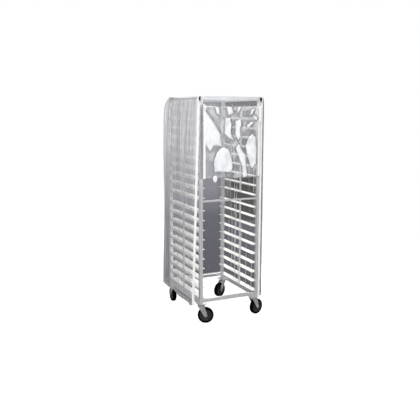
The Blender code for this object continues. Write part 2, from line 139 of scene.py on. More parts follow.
def turned_points(profile, joint, steps):
    """Rings of points of a (radius, offset) profile turned about a wheel's axle."""
    axis = Vector(joint["axis"]).normalized()
    upward = Vector((0.0, 0.0, 1.0))
    sideways = axis.cross(upward)
    centre = Vector(joint["pos_m"])
    points = []
    for radius, offset in profile:
        for step in range(steps):
            turn = 2 * pi * step / steps
            out = upward * cos(turn) + sideways * sin(turn)
            points.append(centre + axis * offset + out * radius)
    return points


def turned_mesh(name, profile, joint, steps=96):
    """A closed profile turned about a wheel's axle."""
    points = turned_points(profile + profile[:1], joint, steps)
    faces = grid_faces(len(profile) + 1, steps, closed=True)
    mesh = mesh_of(name, points, faces)
    shape = bmesh.new()
    shape.from_mesh(mesh)
    bmesh.ops.remove_doubles(shape, verts=shape.verts, dist=1e-6)
    bmesh.ops.recalc_face_normals(shape, faces=shape.faces)
    shape.to_mesh(mesh)
    shape.free()
    return mesh


def bead_points(path, radii, sides=6):
    """Rings of points round a path, one ring for each of its points."""
    path = np.asarray(path, float)
    along = np.gradient(path, axis=0)
    along /= np.linalg.norm(along, axis=1)[:, None]
    guide = np.array([0.301, 0.523, 0.797])
    across = np.cross(along, guide)
    across /= np.linalg.norm(across, axis=1)[:, None]
    third = np.cross(along, across)
    turn = 2 * pi * np.arange(sides) / sides
    ring = across[:, None] * np.cos(turn)[:, None] + third[:, None] * np.sin(turn)[:, None]
    return path[:, None] + ring * np.asarray(radii)[:, None, None]


def smooth_noise(x, y, seed):
    """Gradient noise in about -0.7 to 0.7 at numpy points; it repeats after 64 cells."""
    cells = 64
    angle = np.random.default_rng(seed).uniform(0.0, 2 * pi, (cells, cells))
    x0, y0 = np.floor(x).astype(int), np.floor(y).astype(int)
    fx, fy = x - x0, y - y0

    def corner(dx, dy):
        turn = angle[(x0 + dx) % cells, (y0 + dy) % cells]
        return np.cos(turn) * (fx - dx) + np.sin(turn) * (fy - dy)

    sx, sy = fx * fx * fx * (fx * (fx * 6 - 15) + 10), fy * fy * fy * (fy * (fy * 6 - 15) + 10)
    low = corner(0, 0) * (1 - sx) + corner(1, 0) * sx
    high = corner(0, 1) * (1 - sx) + corner(1, 1) * sx
    return low * (1 - sy) + high * sy


def folded_noise(x, y, seed):
    """Smooth facets that meet in sharp creases, as crumpled film does."""
    return np.abs(smooth_noise(x, y, seed)) - 0.22


def ramp(value, low, high):
    """0 at low, 1 at high, with a smooth rise between them."""
    share = np.clip((value - low) / (high - low), 0.0, 1.0)
    return share * share * (3 - 2 * share)


def crease_of(height, reach):
    """0 to 1 at each point of a grid of heights, from how sharply the grid bends there."""
    bend = np.zeros_like(height)
    bend[1:-1] += np.abs(height[2:] + height[:-2] - 2 * height[1:-1])
    bend[:, 1:-1] += np.abs(height[:, 2:] + height[:, :-2] - 2 * height[:, 1:-1])
    return np.clip(bend / reach, 0.0, 1.0)


# ---------------------------------------------------------------- materials


class Look:
    """A node material under construction. Inputs take a plain value or another node's output."""

    def __init__(self, name, base, roughness, metallic=0.0):
        self.material = bpy.data.materials.new(name)
        self.material.use_nodes = True
        self.tree = self.material.node_tree
        self.shader = self.tree.nodes["Principled BSDF"]
        self.output = self.tree.nodes["Material Output"]
        self.shader.inputs["Base Color"].default_value = (*base, 1.0)
        self.shader.inputs["Roughness"].default_value = roughness
        self.shader.inputs["Metallic"].default_value = metallic

    def add(self, kind, inputs=None, **settings):
        node = self.tree.nodes.new(kind)
        for key, value in settings.items():
            setattr(node, key, value)
        for key, value in (inputs or {}).items():
            self.set(node, key, value)
        return node

    def set(self, node, key, value):
        if isinstance(value, bpy.types.NodeSocket):
            self.tree.links.new(value, node.inputs[key])
        else:
            node.inputs[key].default_value = value

    def place(self, scale=(1.0, 1.0, 1.0)):
        """Points of the object in metres, stretched by scale."""
        at = self.add("ShaderNodeTexCoord").outputs["Object"]
        return self.add("ShaderNodeMapping", {"Vector": at, "Scale": scale}).outputs["Vector"]

    def noise(self, size, stretch=(1.0, 1.0, 1.0), detail=3.0, rough=0.5):
        """Noise with spots of about size metres, longer along an axis whose stretch is above 1."""
        at = self.place(tuple(1.0 / (size * s) for s in stretch))
        inputs = {"Vector": at, "Scale": 1.0, "Detail": detail, "Roughness": rough}
        return self.add("ShaderNodeTexNoise", inputs).outputs["Fac"]

    def spread(self, value, low, high, to_low, to_high):
        """value moved from one range to another, and kept inside it."""
        inputs = {
            "Value": value, "From Min": low, "From Max": high, "To Min": to_low, "To Max": to_high
        }
        return self.add("ShaderNodeMapRange", inputs).outputs["Result"]

    def math(self, operation, a, b):
        return self.add("ShaderNodeMath", {0: a, 1: b}, operation=operation).outputs[0]

    def blend(self, share, a, b):
        """Colour a where share is 0, and b where it is 1."""
        node = self.add("ShaderNodeMix", {"Factor": share}, data_type="RGBA")
        for socket, value in ((node.inputs[6], a), (node.inputs[7], b)):
            if isinstance(value, bpy.types.NodeSocket):
                self.tree.links.new(value, socket)
            else:
                socket.default_value = (*value, 1.0)
        return node.outputs[2]

    def bump(self, height, strength, distance):
        inputs = {"Height": height, "Strength": strength, "Distance": distance}
        normal = self.add("ShaderNodeBump", inputs).outputs["Normal"]
        self.set(self.shader, "Normal", normal)
        return normal


def aluminium(name, stretch, pale, dull, roughness, metallic):
    """Extruded aluminium: fine lines along the extrusion, cloudy oxide and rubbed patches."""
    look = Look(name, pale, 0.4, metallic)
    lines = look.noise(0.0011, stretch, 2.0)
    clouds = look.noise(0.09, detail=5.0, rough=0.6)
    rubs = look.noise(0.012, stretch=tuple(min(s, 5.0) for s in stretch), detail=6.0, rough=0.7)
    worn = look.math("MULTIPLY", look.spread(rubs, 0.45, 0.72, 0.0, 1.0), 0.55)
    patchy = look.math("ADD", look.spread(clouds, 0.35, 0.70, 0.0, 0.6), worn)
    look.set(look.shader, "Base Color", look.blend(patchy, pale, dull))
    low, high = roughness
    rough = look.math("ADD", look.spread(clouds, 0.3, 0.7, low, high), look.math("MULTIPLY", worn, 0.12))
    look.set(look.shader, "Roughness", rough)
    look.bump(look.math("ADD", lines, look.math("MULTIPLY", rubs, 0.6)), 0.22, 0.0002)
    return look.material


def zinc_steel():
    """Zinc plating: faintly blue spangles, with duller stains."""
    look = Look("zinc_steel", (0.5, 0.5, 0.5), 0.4, 1.0)
    at = look.place((260.0, 260.0, 260.0))
    spangle = look.add("ShaderNodeTexVoronoi", {"Vector": at, "Scale": 1.0}).outputs["Color"]
    grey = look.add("ShaderNodeSeparateColor", {"Color": spangle}).outputs[0]
    stains = look.spread(look.noise(0.02, detail=5.0), 0.4, 0.7, 0.0, 1.0)
    plated = look.blend(grey, (0.50, 0.52, 0.55), (0.66, 0.67, 0.68))
    look.set(look.shader, "Base Color", look.blend(stains, plated, (0.36, 0.36, 0.37)))
    look.set(look.shader, "Roughness", look.spread(stains, 0.0, 1.0, 0.30, 0.52))
    look.bump(grey, 0.10, 0.0001)
    return look.material


def tyre_rubber():
    """Black rubber with a fine grain, and flour dust where it rolls."""
    look = Look("tyre_rubber", (0.003, 0.003, 0.003), 0.6)
    look.set(look.shader, "IOR", 1.12)
    look.set(look.shader, "Specular IOR Level", 0.02)
    dust = look.spread(look.noise(0.018, detail=7.0, rough=0.7), 0.52, 0.75, 0.0, 1.0)
    look.set(look.shader, "Base Color", look.blend(dust, (0.002, 0.002, 0.002), (0.010, 0.010, 0.009)))
    look.set(look.shader, "Roughness", look.spread(dust, 0.0, 1.0, 0.50, 0.80))
    look.bump(look.noise(0.0006, detail=4.0), 0.35, 0.0002)
    return look.material


def hub_plastic():
    look = Look("hub_plastic", (0.03, 0.03, 0.03), 0.45)
    mottle = look.noise(0.006, detail=5.0)
    look.set(look.shader, "Base Color", look.blend(mottle, (0.010, 0.010, 0.011), (0.026, 0.026, 0.028)))
    look.set(look.shader, "Roughness", look.spread(mottle, 0.3, 0.7, 0.34, 0.52))
    look.bump(look.noise(0.0009), 0.25, 0.0001)
    return look.material


def clear_vinyl(name, haze, whitening, dust=(0.0, 0.0), marks=1.0, index=1.42):
    """Clear film under a gloss: a thin haze with streaks and scuffs, hazier upwards and at the top.

    The value on its points whitens it where it is above 0, from creases and from painted highlights, and
    darkens it with painted shade where it is below 0.
    """
    look = Look(name, (0.86, 0.87, 0.90), 0.30)
    clouds = look.spread(look.noise(0.16, (1.0, 1.0, 2.6), 6.0, 0.6), 0.42, 0.72, 0.0, 0.10 * marks)
    streaks = look.spread(look.noise(0.012, (1.0, 1.0, 30.0), 3.0, 0.55), 0.52, 0.74, 0.0, 0.22 * marks)
    scuffs = look.spread(look.noise(0.004, (1.0, 1.0, 3.0), 6.0, 0.7), 0.66, 0.78, 0.0, 0.06 * marks)
    crease_and_painted_light = look.add("ShaderNodeAttribute", attribute_name="crease_and_painted_light").outputs["Fac"]
    # Above 0 the value whitens the film: from creases, and as painted highlights on the flap
    light = look.spread(crease_and_painted_light, 0.0, 1.0, 0.0, whitening)
    # Painted shade where the value is below 0: it makes the film hazier and its colour near black
    dark = look.spread(crease_and_painted_light, -1.0, 0.0, 1.0, 0.0)
    height = look.add("ShaderNodeSeparateXYZ", {"Vector": look.place()}).outputs["Z"]
    # Haze that rises with height: up by the first dust amount from 0.3 m to 1.1 m, and by the second from
    # 1.12 m to 1.32 m
    haze_by_height = look.spread(height, 0.3, 1.1, haze, haze + dust[0])
    haze_by_height = look.math("ADD", haze_by_height, look.spread(height, 1.12, 1.32, 0.0, dust[1]))
    share = look.math("ADD", look.math("ADD", clouds, streaks), look.math("ADD", scuffs, haze_by_height))
    share = look.math("ADD", share, look.math("ADD", light, look.math("MULTIPLY", dark, 0.55)))
    share = look.add("ShaderNodeClamp", {"Value": share, "Min": 0.01, "Max": 0.96}).outputs[0]
    look.set(look.shader, "Base Color", look.blend(dark, (0.86, 0.87, 0.90), (0.05, 0.05, 0.055)))
    ripple = look.noise(0.045, (1.0, 1.0, 3.0), 2.0, 0.45)
    normal = look.bump(ripple, 0.12, 0.0030)
    clear = look.add("ShaderNodeBsdfTransparent", {"Color": (0.97, 0.972, 0.98, 1.0)})
    hazy = look.add("ShaderNodeMixShader", {0: share, 1: clear.outputs[0], 2: look.shader.outputs[0]})
    gloss = look.add("ShaderNodeBsdfGlossy", {"Roughness": 0.10, "Normal": normal})
    mirror = look.add("ShaderNodeFresnel", {"IOR": index, "Normal": normal}).outputs[0]
    film = look.add("ShaderNodeMixShader", {0: mirror, 1: hazy.outputs[0], 2: gloss.outputs[0]})
    look.set(look.output, "Surface", film.outputs[0])
    return look.material


def woven_tape():
    """White zipper tape: a fine herringbone weave, a little soiled."""
    look = Look("white_tape", (0.86, 0.86, 0.85), 0.75)
    at = look.place((1.0, 1.0, 1.0))
    rib = {"Vector": at, "Scale": 210.0, "Distortion": 0.6}
    ribs = look.add("ShaderNodeTexWave", rib, bands_direction="Z").outputs["Fac"]
    cord = look.add("ShaderNodeTexWave", rib, bands_direction="X").outputs["Fac"]
    soil = look.spread(look.noise(0.05, (1.0, 1.0, 2.0), 5.0), 0.45, 0.75, 0.0, 0.5)
    look.set(look.shader, "Base Color", look.blend(soil, (0.90, 0.90, 0.90), (0.72, 0.71, 0.69)))
    look.set(look.shader, "Sheen Weight", 0.25)
    look.bump(look.math("ADD", ribs, cord), 0.4, 0.0003)
    return look.material


def teeth_plastic():
    look = Look("zipper_teeth", (0.80, 0.80, 0.80), 0.35)
    tone = look.noise(0.004, detail=2.0)
    look.set(look.shader, "Base Color", look.blend(tone, (0.74, 0.74, 0.74), (0.90, 0.90, 0.90)))
    return look.material


def dark_metal():
    """Black enamelled die-cast metal, with bright specks where it is rubbed."""
    look = Look("dark_metal", (0.03, 0.03, 0.03), 0.35, 0.6)
    rubs = look.spread(look.noise(0.0016, detail=6.0, rough=0.7), 0.60, 0.72, 0.0, 1.0)
    look.set(look.shader, "Base Color", look.blend(rubs, (0.022, 0.022, 0.024), (0.28, 0.28, 0.28)))
    look.set(look.shader, "Roughness", look.spread(rubs, 0.0, 1.0, 0.30, 0.45))
    look.bump(look.noise(0.0012), 0.15, 0.0001)
    return look.material


# Pale and dull colour, lowest and highest roughness, metallic value
FRAME_TONES = ((0.84, 0.845, 0.86), (0.66, 0.665, 0.68), (0.24, 0.36), 0.95)
LEDGE_TONES = ((0.97, 0.965, 0.94), (0.86, 0.85, 0.82), (0.30, 0.42), 0.85)
ALONG = {"x": (60.0, 1.0, 1.0), "y": (1.0, 60.0, 1.0), "z": (1.0, 1.0, 60.0)}
ALUMINIUM = {
    axis: aluminium(f"frame_aluminium_{axis}", stretch, *FRAME_TONES) for axis, stretch in ALONG.items()
}
LEDGE = aluminium("ledge_aluminium", ALONG["y"], *LEDGE_TONES)
WELD_TONES = ((0.80, 0.80, 0.80), (0.60, 0.60, 0.60), (0.3, 0.5), 0.9)
WELD = aluminium("weld_aluminium", (1.0, 1.0, 1.0), *WELD_TONES)
ZINC = zinc_steel()
RUBBER = tyre_rubber()
PLASTIC = hub_plastic()
VINYL = clear_vinyl("clear_vinyl", haze=0.05, whitening=0.50, dust=(0.08, 0.24))
# The same film with less haze, fewer marks and a weaker gloss, for the right and rear panels and the header,
# so that the ledges seen through them do not wash out
VINYL_LESS_HAZE = clear_vinyl(
    "clear_vinyl_less_haze", haze=0.01, whitening=0.04, dust=(0.0, 0.10), marks=0.15, index=1.07
)
VINYL_DOUBLE = clear_vinyl("clear_vinyl_double", haze=0.22, whitening=0.40)
VINYL_FLAP = clear_vinyl("clear_vinyl_flap", haze=0.04, whitening=0.95)
TAPE = woven_tape()
TEETH = teeth_plastic()
DARK = dark_metal()


# ---------------------------------------------------------------- the CAD's own pieces


SHARP_ANGLE = radians(38)


def finish_node(name, look, bevel):
    """Gives a CAD node its material and breaks its sharp edges."""
    node = frame["nodes"][name]
    node.data.materials.clear()
    node.data.materials.append(look)
    edge = node.modifiers.new("Edges", "BEVEL")
    edge.width = bevel
    edge.segments = 2
    edge.limit_method = "ANGLE"
    edge.angle_limit = SHARP_ANGLE
    edge.use_clamp_overlap = True
    edge.harden_normals = False
    node.data.shade_smooth()
    node.data.set_sharp_from_angle(angle=SHARP_ANGLE)


def finish_frame():
    for corner in CORNERS:
        finish_node(f"post_{corner}", ALUMINIUM["z"], 0.0012)
        finish_node(f"corner_plate_{corner}", ALUMINIUM["x"], 0.0008)
        for part in ("caster_plate", "kingpin", "fork", "axle"):
            finish_node(f"{part}_{corner}", ZINC, 0.0006)
    for side in SIDES:
        for level in ("top", "bottom"):
            finish_node(f"{level}_rail_{side}", ALUMINIUM["y"], 0.0012)
        for level in ("lower", "upper"):
            finish_node(f"ledge_bank_{side}_{level}", LEDGE, 0.0005)
        finish_node(f"zipper_slider_{side}", DARK, 0.0009)
        finish_node(f"pull_tab_{side}", DARK, 0.0003)
    for end in ("front", "rear"):
        for bar in ("top_rail", "bottom_rail"):
            finish_node(f"{bar}_{end}", ALUMINIUM["x"], 0.0012)
    finish_node("mid_bar_front", ALUMINIUM["x"], 0.0012)


# ---------------------------------------------------------------- weld beads


TIER_PITCH = 0.0762
TIERS_IN_BANK = 10
LIP_INSET = 0.0047  # from the outer face of a bank's strap in to its ledges' lips
LIP_DEPTH = 0.0165  # from a ledge's underside down to the edge of its lip
RAIL_BEAD = 0.0017
LEDGE_BEAD = 0.0014


def weld_path(corners, spacing=0.0011):
    """Evenly spaced points along straight runs between corners."""
    path = []
    for start, end in zip(corners, corners[1:]):
        start, end = np.array(start), np.array(end)
        count = max(2, int(np.linalg.norm(end - start) / spacing))
        path += [start + (end - start) * step / count for step in range(count)]
    path.append(np.array(corners[-1]))
    return path


def rail_end_corners(low, high, axis, at):
    """The outline of a rail's end, as a closed run of corners in the plane where it meets a post."""
    a, b = [i for i in range(3) if i != axis]
    outline = [(low[a], low[b]), (high[a], low[b]), (high[a], high[b]), (low[a], high[b])]
    corners = []
    for first, second in outline + outline[:1]:
        point = [0.0, 0.0, 0.0]
        point[axis], point[a], point[b] = at, first, second
        corners.append(point)
    return corners


def weld_beads():
    """Rippled beads where the rails and the ledges meet the posts."""
    runs = []
    for name in frame["nodes"]:
        if "rail" in name or "mid_bar" in name:
            axis = 1 if name.endswith(("left", "right")) else 0
            low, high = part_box(name)
            runs += [(rail_end_corners(low, high, axis, at), RAIL_BEAD) for at in (low[axis], high[axis])]
    for level in ("lower", "upper"):
        for side, sign in SIDES.items():
            low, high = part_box(f"ledge_bank_{side}_{level}")
            inner, outer = sorted((abs(low.x), abs(high.x)))
            outer -= LIP_INSET
            for tier in range(TIERS_IN_BANK):
                lip = low.z - 0.001 + TIER_PITCH * tier
                under = lip + LIP_DEPTH
                for y in (low.y, high.y):
                    corners = [(inner, under), (outer, under), (outer, lip)]
                    runs.append(([(sign * x, y, z) for x, z in corners], LEDGE_BEAD))
    points, faces, start = [], [], 0
    for number, (corners, radius) in enumerate(runs):
        path = weld_path(corners)
        ripple = np.abs(np.sin(np.arange(len(path)) * 1.25 + number))
        rings = bead_points(path, radius * (0.80 + 0.28 * ripple))
        points.append(rings.reshape(-1, 3))
        faces.append(grid_faces(len(path), rings.shape[1], closed=True, start=start))
        start += len(path) * rings.shape[1]
    mesh = mesh_of("weld_beads", np.concatenate(points), np.concatenate(faces))
    add_piece("weld_beads", mesh, WELD, "rack")


# ---------------------------------------------------------------- wheels


TREAD_HALF = 0.016
TREAD_INSIDE = 0.0478
CORE_RIM = 0.0475
CORE_HALF = 0.0172
CORE_BORE = 0.0051
CORE_SHARP_ANGLE = radians(40)
# Each rib's crest, from the boss out to the rim: distance from the axle, and height above the middle
RIB_CREST = ((0.0132, 0.0128), (0.0200, 0.0098), (0.0300, 0.0088), (0.0405, 0.0112))
RIB_ROOT = 0.0040
RIB_HALF = (0.0021, 0.0011)  # half its thickness at its root and at its crest


def arc(centre, radius, start, end, steps):
    """Points of a round stretch of a profile, from one angle in degrees to another."""
    points = []
    for step in range(steps + 1):
        turn = radians(start + (end - start) * step / steps)
        points.append((centre[0] + radius * cos(turn), centre[1] + radius * sin(turn)))
    return points


def tyre_profile(radius, inner, half):
    """Half a turn of tread and sidewall, mirrored: a crowned tread, round shoulders and a groove."""
    shoulder = 0.0055
    crown = 0.0009
    side = arc((radius - crown - shoulder, half - shoulder), shoulder, 12, 90, 8)
    side += [(radius - 0.0105, half), (radius - 0.0108, half - 0.0007), (radius - 0.0118, half - 0.0007)]
    side += [(radius - 0.0121, half), (inner + 0.0022, half), (inner, half - 0.0022)]
    upper = [(radius, 0.0), (radius - crown * 0.35, half * 0.4)] + side
    lower = [(r, -offset) for r, offset in reversed(side)] + [(radius - crown * 0.35, -half * 0.4)]
    return upper + lower


def hub_profile(bore, rim, half):
    """Bearing race, boss, dished web and rim of the wheel's core."""
    side = [(bore, half - 0.0012), (bore + 0.0012, half), (0.0088, half), (0.0090, half - 0.0016)]
    side += [(0.0108, half - 0.0016), (0.0110, half - 0.0004), (0.0128, half - 0.0010)]
    side.append((0.0142, half * 0.55))
    side += [(0.0165, 0.0052), (0.0350, 0.0046), (0.0385, 0.0062), (0.0402, 0.0112)]
    side += [(0.0412, 0.0124), (rim - 0.0008, 0.0124), (rim, 0.0116)]
    return side + [(r, -offset) for r, offset in reversed(side)]


def hub_ribs(joint, count=8):
    """Ribs from the boss to the rim on both faces of the web, each one thinner at its crest."""
    axis = Vector(joint["axis"]).normalized()
    upward = Vector((0.0, 0.0, 1.0))
    sideways = axis.cross(upward)
    centre = Vector(joint["pos_m"])
    points, faces = [], []
    root, crest = RIB_HALF
    for face_sign in (-1, 1):
        for rib in range(count):
            turn = 2 * pi * (rib + 0.5) / count
            out = upward * cos(turn) + sideways * sin(turn)
            around = axis.cross(out)
            start = len(points)
            for radius, height in RIB_CREST:
                for across, level in ((root, RIB_ROOT), (crest, height), (-crest, height), (-root, RIB_ROOT)):
                    offset = face_sign * level
                    points.append(centre + out * radius + around * across + axis * offset)
            faces += grid_faces(4, 4, start=start).tolist()
    return points, faces


def wheels():
    for corner in CORNERS:
        joint = JOINTS[f"wheel_spin_{corner}"]
        body = f"wheel_{corner}"
        profile = tyre_profile(joint["pos_m"][2], TREAD_INSIDE, TREAD_HALF)
        tyre = turned_mesh(f"tread_{corner}", profile, joint)
        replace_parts(add_piece(f"tread_{corner}", tyre, RUBBER, body), f"tyre_{corner}")
        core = turned_mesh(f"core_{corner}", hub_profile(CORE_BORE, CORE_RIM, CORE_HALF), joint, 72)
        made = add_piece(f"core_{corner}", core, PLASTIC, body)
        made.data.set_sharp_from_angle(angle=CORE_SHARP_ANGLE)
        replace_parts(made, f"hub_{corner}")
        ribs = mesh_of(f"core_ribs_{corner}", *hub_ribs(joint))
        add_piece(f"core_ribs_{corner}", ribs, PLASTIC, body, smooth=False)


# ---------------------------------------------------------------- cover


def skirt_at(side, z):
    """Where a side of the skirt hangs at height z, with its shoulder pulled in under the top seam."""
    top, hem = SKIRT[side]
    sign = -1 if side == "left" else 1
    straight = top + (hem - top) * (COVER_TOP - z) / (COVER_TOP - HEM)
    return straight - sign * SHOULDER * np.exp((z - COVER_TOP) / SHOULDER_FALL)


def tape_edge(side, z):
    """The outer edge of a zipper tape at height z."""
    low, high = TAPE_LOW[side].x, TAPE_HIGH[side].x
    if side == "right":
        return np.full_like(z, high)
    return low + (high - TAPE_WIDTH - low) * (z - HEM) / (COVER_TOP - HEM)


def pulled(x, y, z):
    """The cover's place near its top rear left corner, where it is drawn in over the frame's corner."""
    reach = np.hypot(x - SKIRT["left"][0], y - SKIRT["rear"][0])
    pull = np.exp((z - COVER_TOP) / CORNER_PULL_FALL) * ramp(reach, CORNER_PULL_REACH, 0.02)
    return x + CORNER_PULL * pull, y - CORNER_PULL * pull


def path_points(panel, share, z):
    """(x, y), the outward direction and the distance along one panel of the skirt.

    share runs 0 to 1 along the panel, clockwise as seen from above: left side from its tape to the middle
    of the rear corner, rear, and right side from its rear corner to its tape.
    """
    left, right, rear = skirt_at("left", z), skirt_at("right", z), skirt_at("rear", z)
    if panel == "rear":
        radius = np.full_like(z, REAR_CORNER)
        run = (right - left) - 2 * radius
        total = run + radius * pi / 2
        at = share * total
        first = radius * pi / 4
        turn = np.where(
            at < first, pi / 4 - at / radius, np.where(at > first + run, (at - first - run) / radius, 0.0)
        )
        straight = np.clip(at - first, 0.0, run)
        lead = np.sign(at - first - run / 2)
        x = left + radius + straight + lead * radius * np.sin(turn)
        y = rear - radius + radius * np.cos(turn)
        x, y = pulled(x, y, z)
        return x, y, lead * np.sin(turn), np.cos(turn), at
    sign = SIDES[panel]
    if panel == "left":
        side = left
        flare = DOOR_FLARE * (COVER_TOP - z) / (COVER_TOP - HEM)
    else:
        side = right
        flare = np.zeros_like(z)
    edge = tape_edge(panel, z) + flare
    front_radius = np.maximum(sign * (side - edge), 0.004)
    rear_radius = np.full_like(z, REAR_CORNER)
    run = rear - FRONT - front_radius - rear_radius
    total = front_radius * pi / 2 + run + rear_radius * pi / 4
    at = (share if panel == "left" else 1.0 - share) * total
    in_front = front_radius * pi / 2
    front_turn = np.clip(at / front_radius, 0.0, pi / 2)
    rear_turn = np.clip((at - in_front - run) / rear_radius, 0.0, pi / 4)
    straight = np.clip(at - in_front, 0.0, run)
    x = side - sign * front_radius * (1 - np.sin(front_turn)) - sign * rear_radius * (1 - np.cos(rear_turn))
    y = FRONT + front_radius * (1 - np.cos(front_turn)) + straight + rear_radius * np.sin(rear_turn)
    x, y = pulled(x - flare * ramp(y, FRONT + 0.50, FRONT), y, z)
    away_x = sign * np.where(rear_turn > 0, np.cos(rear_turn), np.sin(front_turn))
    away_y = np.where(rear_turn > 0, np.sin(rear_turn), -np.cos(front_turn))
    return x, y, away_x, away_y, at


def seam_height(x, y):
    """The cover's top surface: flat on the frame and sagging where it overhangs."""
    beyond_x = np.maximum(np.abs(x) - HALF_WIDTH, 0.0)
    beyond_y = np.maximum(np.abs(y) - HALF_DEPTH, 0.0)
    return COVER_TOP - 0.0006 - 24.0 * (beyond_x**2 + beyond_y**2)


def skirt_folds(along, z):
    """How far the skirt stands off its smooth hang, at a distance along it and a height."""
    below = COVER_TOP - z
    loose = ramp(below, 0.0, 0.9)
    billow = smooth_noise(along / 0.26 + 3.1, z / 1.5, 11) * (0.006 + 0.014 * loose)
    pleats = folded_noise(along / 0.115 + 0.30 * z, z / 1.1 + 5.3, 12) * (0.010 + 0.006 * loose)
    streaks = folded_noise(along / 0.048 - 0.45 * z, z / 0.80 + 1.7, 13) * 0.0050
    crumple = folded_noise(along / 0.080 + 0.8 * z, z / 0.16, 14) * 0.0040 * (1 - 0.75 * loose)
    near_top = np.exp(-below / 0.16)
    gather = folded_noise(along / 0.035 + 1.3 * z, z / 0.16 + 2.2, 15) * 0.0060 * near_top
    return (billow + pleats + streaks + crumple + gather) * ramp(below, 0.0, 0.05)


def path_offset(panel):
    """Distance along the skirt at which a panel starts, so that folds run on round the corners."""
    z = np.array([COVER_TOP])
    left, rear = [path_points(name, np.array([1.0]), z)[4][0] for name in ("left", "rear")]
    return {"left": 0.0, "rear": left, "right": left + rear}[panel]


def skirt_grid(panel, lift=0.0, top=None, bottom=None, first=0.0, last=1.0, column_size=GRID):
    """A grid of points on one panel of the skirt, lifted off it, and its folds."""
    length = 0.60 if panel == "rear" else 0.74
    columns = max(2, int(length * (last - first) / column_size)) + 1
    share = np.linspace(first, last, columns)[None, :]
    x, y, _, _, _ = path_points(panel, share, np.full_like(share, COVER_TOP))
    seam = seam_height(x, y)
    upper = seam if top is None else np.full_like(seam, top)
    lower = HEM if bottom is None else bottom
    height = float(np.mean(upper)) - lower
    rows = max(2, int(abs(height) / GRID)) + 1
    down = np.linspace(0.0, 1.0, rows)[:, None]
    z = upper * (1 - down) + lower * down
    share = np.broadcast_to(share, z.shape)
    x, y, away_x, away_y, at = path_points(panel, share, z)
    free = 1.0 if panel == "rear" else ramp(at, 0.0, FREE_EDGE)
    if panel == "right":
        at = at.max() - at
    folds = skirt_folds(at + path_offset(panel), z) * free
    out = folds + lift
    points = np.stack([x + away_x * out, y + away_y * out, z], axis=-1)
    return points, folds


def skirt_panel(panel):
    """One side of the skirt with its doubled hem. The left one has a painted highlight beside its rear
    corner, stronger upwards.
    """
    points, folds = skirt_grid(panel)
    tone = crease_of(folds, SKIRT_CREASE)
    if panel == "left":
        share = np.linspace(0.0, 1.0, points.shape[1])[None, :]
        # Painted highlight: a whiter strip beside the left panel's rear corner, stronger upwards
        tone = 0.8 * tone + ramp(share, 0.84, 0.93) * (0.35 + 0.75 * ramp(points[..., 2], 0.4, 1.4))
    mesh = grid_mesh(f"vinyl_{panel}", points, tone)
    look = VINYL if panel == "left" else VINYL_LESS_HAZE
    made = add_piece(f"vinyl_{panel}", mesh, look, "rack")
    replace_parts(made, f"cover_{panel}")
    hem_points, hem_folds = skirt_grid(panel, lift=FILM_GAP, top=HEM + HEM_DEPTH, bottom=HEM - 0.001)
    hem_mesh = grid_mesh(f"hem_{panel}", hem_points, crease_of(hem_folds, SKIRT_CREASE))
    hem = add_piece(f"hem_{panel}", hem_mesh, VINYL_DOUBLE, "rack")


def rear_seams():
    """Welded seams down the two rear corners, where the side panels meet the rear panel."""
    for panel, (first, last) in (("left", (0.985, 1.0)), ("right", (0.0, 0.015))):
        points, folds = skirt_grid(panel, lift=FILM_GAP, first=first, last=last, column_size=0.004)
        mesh = grid_mesh(f"seam_rear_{panel}", points, crease_of(folds, SKIRT_CREASE))
        add_piece(f"seam_rear_{panel}", mesh, VINYL_DOUBLE, "rack")


def top_edge(panel, steps):
    """The seam at the top of one side of the cover, as points from its start to its end."""
    share = np.linspace(0.0, 1.0, steps)
    x, y, _, _, _ = path_points(panel, share, np.full_like(share, COVER_TOP))
    return np.stack([x, y], axis=-1)


def cover_top():
    """The top panel, between the seams of the three skirt panels and the front edge."""
    columns, rows = int(0.56 / GRID), int(0.69 / GRID)
    left, rear = top_edge("left", rows), top_edge("rear", columns)
    right = top_edge("right", rows)[::-1]
    front = np.linspace(left[0], right[0], columns)
    a = np.linspace(0.0, 1.0, columns)[None, :, None]
    b = np.linspace(0.0, 1.0, rows)[:, None, None]
    sides = left[:, None] * (1 - a) + right[:, None] * a
    ends = front[None] * (1 - b) + rear[None] * b
    corners = (
        left[0] * (1 - a) * (1 - b) + right[0] * a * (1 - b) + left[-1] * (1 - a) * b + right[-1] * a * b
    )
    plan = sides + ends - corners
    x, y = plan[..., 0], plan[..., 1]
    z = seam_height(x, y)
    inside = np.minimum(np.minimum(a[..., 0], 1 - a[..., 0]), np.minimum(b[..., 0], 1 - b[..., 0]))
    over_frame = ramp(np.minimum(HALF_WIDTH - TUBE - np.abs(x), HALF_DEPTH - TUBE - np.abs(y)), 0.0, 0.1)
    sag = 0.010 * over_frame + 0.004 * smooth_noise(x / 0.2, y / 0.2, 21) * over_frame
    crinkle = folded_noise(x / 0.075, y / 0.09, 22) * 0.005 + folded_noise(x / 0.03, y / 0.04, 23) * 0.002
    folds = (crinkle + 0.0006) * ramp(inside, 0.0, 0.05) * (0.25 + 0.75 * over_frame)
    points = np.stack([x, y, z - sag + folds], axis=-1)
    mesh = grid_mesh("vinyl_top", points[::-1], crease_of(folds, 0.0016)[::-1])
    made = add_piece("vinyl_top", mesh, VINYL, "rack")
    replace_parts(made, "cover_top")


def seam_strip(name, line, width):
    """A flat seam that stands up a little along a line of points, as a heat-sealed edge does."""
    points = np.stack([line + np.array([0.0, 0.0, z]) for z in (-width * 0.45, 0.0, width * 0.55)])
    mesh = grid_mesh(name, points, np.zeros(points.shape[:2]))
    add_piece(name, mesh, VINYL_DOUBLE, "rack")


def top_seams():
    steps = 90
    for panel in ("left", "rear", "right"):
        x, y = top_edge(panel, steps).T
        _, _, away_x, away_y, _ = path_points(panel, np.linspace(0, 1, steps), np.full(steps, COVER_TOP))
        line = np.stack([x + away_x * FILM_GAP, y + away_y * FILM_GAP, seam_height(x, y)], axis=-1)
        seam_strip(f"seam_top_{panel}", line, 0.009)


# ---------------------------------------------------------------- header, tapes and flap


